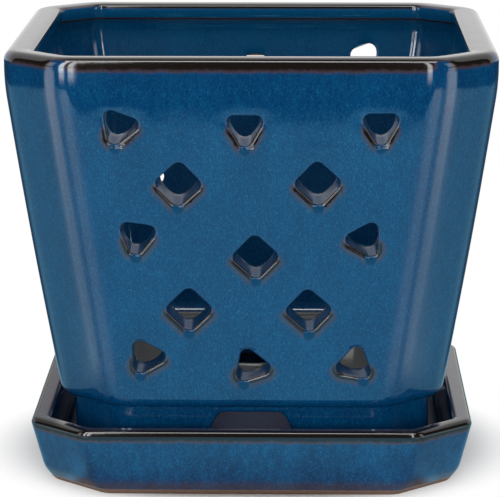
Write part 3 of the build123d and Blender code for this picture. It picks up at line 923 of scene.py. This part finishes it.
def glazeFinish(name, shift, mottle, marks):
    finish = bpy.data.materials.new(name)
    finish.use_nodes = True
    finish.node_tree.nodes.clear()
    coat = Coat(finish.node_tree)
    pattern = {key: coat.noise(scale, shift, detail, roughness)
               for key, (scale, detail, roughness) in glaze["patterns"].items()}
    ragged = pattern["ragged"] - 0.5
    burnAndShade, pool, bare, dull, matt, paleFloor, lift = marks(coat, pattern["ragged"])
    # lift is painted light: paler glaze high inside the pot's mouth
    blend = (pattern["blotch"] - 0.5 + pattern["cloud"] - 0.5) * mottle + lift
    for key, share in glaze["mix"].items():
        blend = blend + pattern[key] * share
    blue = coat.add("ShaderNodeValToRGB", {"stops": list(zip(
        glaze["stops"], (glaze["deep"], glaze["middle"], glaze["light"])))}, {"Fac": blend})
    specks = coat.rise(pattern["fleck"], *glaze["speckFrom"]) * glaze["speckShare"]
    blue = coat.blend(specks, blue, glaze["speck"])
    # burnt glaze and painted shade both turn the blue rust and dark brown
    burnAndShade = burnAndShade + ragged * glaze["burnShadeRagged"] * coat.rise(burnAndShade, *glaze["burnShadeFrom"])
    blue = coat.blend(coat.rise(burnAndShade, *glaze["rustFrom"]) * glaze["rustShare"], blue, glaze["burnShadeRust"])
    blue = coat.blend(coat.rise(burnAndShade, *glaze["darkFrom"]), blue, glaze["burnShadeDark"])
    blue = coat.blend(pool, blue, glaze["poolTint"])
    blue = coat.blend(paleFloor, blue, glaze["paleFloor"])
    bare = coat.rise(bare + ragged * glaze["clayRagged"], *glaze["clayEdge"])
    clay = coat.blend(pattern["clay"], glaze["clayDark"], glaze["clayTint"])
    colour = coat.blend(bare, blue, clay)
    rough = glaze["roughness"] + glaze["streakRoughness"] * pattern["streak"] + dull
    rough = rough * (1 - bare) + glaze["clayRoughness"] * bare
    relief = (pattern["peel"] + bare * pattern["sand"] * glaze["claySand"]) * glaze["peel"]
    relief = relief + pattern["ripple"] * glaze["ripple"]
    bump = coat.add("ShaderNodeBump", None, {"Strength": 1.0, "Distance": mm, "Height": relief}, "Normal")
    shine = coat.add("ShaderNodeBsdfPrincipled", None, {
        "Base Color": colour, "Roughness": rough, "IOR": glaze["index"], "Normal": bump})
    still = coat.add("ShaderNodeBsdfPrincipled", None, {
        "Base Color": colour, "Roughness": glaze["mattRoughness"], "IOR": glaze["mattIndex"], "Normal": bump})
    mixed = coat.add("ShaderNodeMixShader", None, {0: matt, 1: shine, 2: still})
    coat.add("ShaderNodeOutputMaterial", None, {"Surface": mixed})
    return finish


planPoints = planCloud()
potPiece = growPot(glazeFinish("potGlaze", (0.0, 0.0, 0.0), 0.0, potMarks), planPoints)
saucerPiece = growSaucer(glazeFinish("saucerGlaze", (31.0, 17.0, 5.0), 0.25, saucerMarks), planPoints)
dressPot(potPiece)
dressSaucer(saucerPiece)
for holder in [held for held in bpy.data.objects if held.type == "MESH" and not held.data.polygons]:
    bpy.data.objects.remove(holder)
for piece, node, slotName in ((potPiece, "pot", "pot_glaze"), (saucerPiece, "saucer", "saucer_glaze")):
    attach(piece, node)
    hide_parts(node)
print("pot and saucer grown and dressed")

stage = {
    "paperTint": (0.90, 0.90, 0.90), "paperReach": 4.0, "paperFade": (0.062, 0.092),
    "sky": 0.42,                    # what the open room gives to matt surfaces
    "overhead": {"place": (0.0, -0.32, 1.5), "target": (0.0, 0.0, 0.0), "size": (1.0, 0.28), "power": 9.0},
    "fill": {"place": (0.0, -1.6, 0.3), "target": (0.0, 0.0, 0.07), "size": (1.6, 0.5), "power": 14.0},
}
# what the glaze mirrors of the table: tint by the bearing from a corner of the pot, 0 to the front, in degrees
table = {
    "apexAside": 0.050, "apexAhead": 0.040, "far": 2.4, "back": 1.2, "height": 0.002,
    "strength": 2.0,                # the tints are divided by it, since a ramp's colours end at 1
    "tints": (
        (0, (0.34, 0.95, 1.35)), (10, (0.42, 0.98, 1.38)), (24, (0.95, 1.45, 1.80)), (36, (0.95, 1.45, 1.75)),
        (43, (0.50, 0.85, 1.10)), (50, (0.55, 0.90, 1.10)), (59, (1.15, 1.55, 1.70)), (78, (1.15, 1.55, 1.70)),
        (92, (0.31, 0.66, 0.80)), (122, (0.31, 0.66, 0.80)), (140, (0.05, 0.07, 0.08))),
    "nearFront": (0.34, 0.95, 1.35), "nearSide": (0.27, 0.52, 0.66),
    "near": (0.045, 0.070), "sideFrom": (10, 45),
    "shade": (0.024, 0.046), "shadeTint": (0.26, 0.18, 0.06),       # in the saucer's own shadow
    "cornerFrom": (8, 30), "cornerLit": 0.9,
    "edge": 0.287, "edgeSoft": 0.005, "edgeWave": 0.045, "edgeWaves": 11.0,     # where the sheet ends
    "cornerEdge": 0.19, "bandEdge": 5.0,
    "band": (55, 80, 4), "bandTint": (1.5, 1.2, 1.05), "paleBand": (20, 41, 4), "paleTint": (0.55, 0.42, 0.28),
    "bandFrom": (0.12, 0.36),
}
# dark walls and bright panes that only reflections see
room = {
    "dark": 0.02, "half": 2.5, "front": -2.4, "top": 2.6, "ceilingBack": 0.8, "wallBack": 0.6,
    "apexAside": 0.066, "apexAhead": 0.068, "paneTop": 1.2,
    # bearings of a pane's ends from a corner of the pot in degrees, and its strength
    "tallPanes": {"left": ((3, 19, 10.0), (24, 43, 12.0)), "right": ((4, 17, 9.0),)}, "tallOut": 0.42,
    "widePane": (53, 85, 2.6), "wideOut": 1.2,
    # soft share at either end, then heights in mm: where it fades near the table, and its dark bars
    "tallLook": (0.3, (20, 110), ((176, 180), (182, 183.4), (187, 196))),
    "wideLook": (0.35, (-2, -1), ((190, 300),)),
}


def upright(first, second, top):
    return [(*first, 0.0), (*second, 0.0), (*second, top), (*first, top)]


def level(half, front, back, z):
    return [(-half, front, z), (half, front, z), (half, back, z), (-half, back, z)]


def roomCards():
    # corners and strength of each card, with the look of a pane
    half, front, top, dark = (room[key] for key in ("half", "front", "top", "dark"))
    cards = {
        "rearOfCamera": (upright((-half, front), (half, front), top), dark),
        "ceiling": (level(half, front, room["ceilingBack"], top), dark),
    }
    for side, tag in ((-1, "left"), (1, "right")):
        wall = side * half
        cards[tag + "Room"] = (upright((wall, front), (wall, room["wallBack"]), top), dark)
        panes = [(pane, room["tallOut"], room["tallLook"]) for pane in room["tallPanes"][tag]]
        panes.append((room["widePane"], room["wideOut"], room["wideLook"]))
        for number, ((near, far, strength), out, look) in enumerate(panes):
            first, second = (
                (side * (room["apexAside"] + out * sin(turn)), -room["apexAhead"] - out * cos(turn))
                for turn in (radians(near), radians(far)))
            cards[tag + "Pane" + str(number)] = (upright(first, second, room["paneTop"]), strength, *look)
    return cards


def tableFinish():
    finish = bpy.data.materials.new("tableGlow")
    finish.use_nodes = True
    finish.node_tree.nodes.clear()
    coat = Coat(finish.node_tree)

    def dimmed(colour):
        return [part / table["strength"] for part in colour]

    spot = coat.add("ShaderNodeSeparateXYZ", None, {"Vector": coat.spot()})
    aside = spot.maths("ABSOLUTE", spot) - table["apexAside"]
    ahead = -table["apexAhead"] - spot.other("Y")
    turn = spot.maths("ARCTAN2", aside, ahead) * (180 / pi)
    aside, ahead = aside.maths("MAXIMUM", aside, 0.0), ahead.maths("MAXIMUM", ahead, 0.0)
    reach = aside.maths("SQRT", aside * aside + ahead * ahead)
    tint = coat.add("ShaderNodeValToRGB", {"stops": [
        (place / 180, dimmed(colour)) for place, colour in table["tints"]]}, {"Fac": turn / 180})
    sideways = coat.rise(turn, *table["sideFrom"])
    close = coat.blend(sideways, dimmed(table["nearFront"]), dimmed(table["nearSide"]))
    corner = coat.rise(turn, *table["cornerFrom"])
    lit = coat.most(coat.rise(reach, *table["shade"]), corner * table["cornerLit"])
    close = coat.blend(lit, dimmed(table["shadeTint"]), close)
    tint = coat.blend(coat.rise(reach, *table["near"]), close, tint)
    band = coat.band(turn, *table["band"])
    waves = table["edgeWaves"]
    wave = (coat.noise((waves, waves, waves), (3.0, 1.0, 0.0)) - 0.5) * table["edgeWave"]
    edge = table["edge"] + corner * table["cornerEdge"] + wave + band * table["bandEdge"]
    inside = coat.rise(edge - reach, -table["edgeSoft"], table["edgeSoft"])
    farther = coat.rise(reach, *table["bandFrom"])
    for share, key in ((band, "bandTint"), (coat.band(turn, *table["paleBand"]), "paleTint")):
        tint = coat.add("ShaderNodeMix", {"data_type": "RGBA", "blend_type": "ADD"}, {
            "Factor": share * farther, "A": tint, "B": (*dimmed(table[key]), 1.0)})
    tint = coat.blend(inside, dimmed([room["dark"]] * 3), tint)
    glow = coat.add("ShaderNodeEmission", None, {"Color": tint, "Strength": table["strength"]})
    coat.add("ShaderNodeOutputMaterial", None, {"Surface": glow})
    return finish


def glowFinish(name, strength, soft=0.0, fade=None, bars=()):
    finish = bpy.data.materials.new(name)
    finish.use_nodes = True
    finish.node_tree.nodes.clear()
    coat = Coat(finish.node_tree)
    tint = (1.0, 1.0, 1.0, 1.0)
    if soft:
        across = coat.add("ShaderNodeSeparateXYZ", None, {"Vector": coat.add("ShaderNodeTexCoord")})
        share = coat.rise(across, 0.0, soft) * coat.rise(across, 1.0, 1 - soft)
        share = share * coat.rise(coat.height(), *fade)         # fainter near the table
        for low, high in bars:
            share = share * (1 - coat.band(coat.height(), low, high, 0.2))
        tint = coat.blend(share, (0.0, 0.0, 0.0), (1.0, 1.0, 1.0))
    glow = coat.add("ShaderNodeEmission", None, {"Color": tint, "Strength": strength})
    coat.add("ShaderNodeOutputMaterial", None, {"Surface": glow})
    return finish


def paperFinish():
    # white sheet that keeps the pot's shadow close to it and is plain white farther off
    finish = bpy.data.materials.new("whitePaper")
    finish.use_nodes = True
    finish.node_tree.nodes.clear()
    coat = Coat(finish.node_tree)
    away = coat.vector("LENGTH", coat.spot(), out="Value")
    sheet = coat.add("ShaderNodeBsdfDiffuse", None, {"Color": (*stage["paperTint"], 1.0)})
    white = coat.add("ShaderNodeEmission", None, {"Color": (1, 1, 1, 1), "Strength": 1.0})
    mixed = coat.add("ShaderNodeMixShader", None, {
        0: coat.rise(away, *stage["paperFade"]), 1: sheet, 2: white})
    coat.add("ShaderNodeOutputMaterial", None, {"Surface": mixed})
    return finish


def sheetOf(name, corners, finish):
    mesh = bpy.data.meshes.new(name)
    mesh.from_pydata(corners, [], [(0, 1, 2, 3)])
    mesh.materials.append(finish)
    sheet = bpy.data.objects.new(name, mesh)
    bpy.context.scene.collection.objects.link(sheet)
    return sheet


def layStage():
    far = stage["paperReach"]
    sheetOf("floor", level(far, -far, far, 0), paperFinish())
    mirrored = level(table["far"], -table["far"], table["back"], table["height"])
    shown = [sheetOf("table", mirrored, tableFinish())]
    shown += [sheetOf(name, corners, glowFinish(name, *light))
              for name, (corners, *light) in roomCards().items()]
    for card in shown:
        card.visible_camera = card.visible_diffuse = card.visible_shadow = card.visible_transmission = False


def lamp(name, place, target, size, power, glossy=True):
    data = bpy.data.lights.new(name, "AREA")
    data.shape = "RECTANGLE"
    data.size, data.size_y = size
    data.energy = power
    holder = bpy.data.objects.new(name, data)
    holder.location = place
    holder.rotation_euler = (Vector(target) - Vector(place)).to_track_quat("-Z", "Y").to_euler()
    holder.visible_camera = False
    holder.visible_glossy = glossy
    bpy.context.scene.collection.objects.link(holder)


def lightStage():
    lamp("overhead", **stage["overhead"])
    lamp("fill", **stage["fill"], glossy=False)
    world = bpy.data.worlds.new("studio")
    bpy.context.scene.world = world
    world.use_nodes = True
    tree = world.node_tree
    tree.nodes.clear()
    start = Wire(tree)
    path = start.add("ShaderNodeLightPath", None, None, "Is Camera Ray")
    seen = path.maths("MAXIMUM", path, path.other("Is Glossy Ray"))
    seen = seen.maths("MAXIMUM", seen, path.other("Is Transmission Ray"))
    room = start.add("ShaderNodeBackground", None, {"Color": (1, 1, 1, 1), "Strength": stage["sky"]})
    backdrop = start.add("ShaderNodeBackground", None, {"Color": (1, 1, 1, 1), "Strength": 1.0})
    mixed = start.add("ShaderNodeMixShader", None, {0: seen, 1: room, 2: backdrop})
    start.add("ShaderNodeOutputWorld", None, {"Surface": mixed})


# place in mm, pitch in degrees, aside as the sine of the turn to the left
camera = {
    "place": (15.45, -957.8, 254.9), "aside": 0.01745, "pitch": 11.21, "lens": 216.7, "clip": (0.05, 20.0),
}


def setCamera():
    data = bpy.data.cameras.new("camera")
    data.lens = camera["lens"]
    data.clip_start, data.clip_end = camera["clip"]
    holder = bpy.data.objects.new("camera", data)
    pitch = radians(camera["pitch"])
    aim = Vector((-camera["aside"] * cos(pitch), sqrt(1 - camera["aside"]**2) * cos(pitch), -sin(pitch)))
    holder.location = Vector(camera["place"]) * mm
    holder.rotation_euler = aim.to_track_quat("-Z", "Y").to_euler()
    bpy.context.scene.collection.objects.link(holder)
    bpy.context.scene.camera = holder


layStage()
lightStage()
setCamera()
bpy.context.scene.view_settings.view_transform = "Standard"
print("stage, lights and camera set")
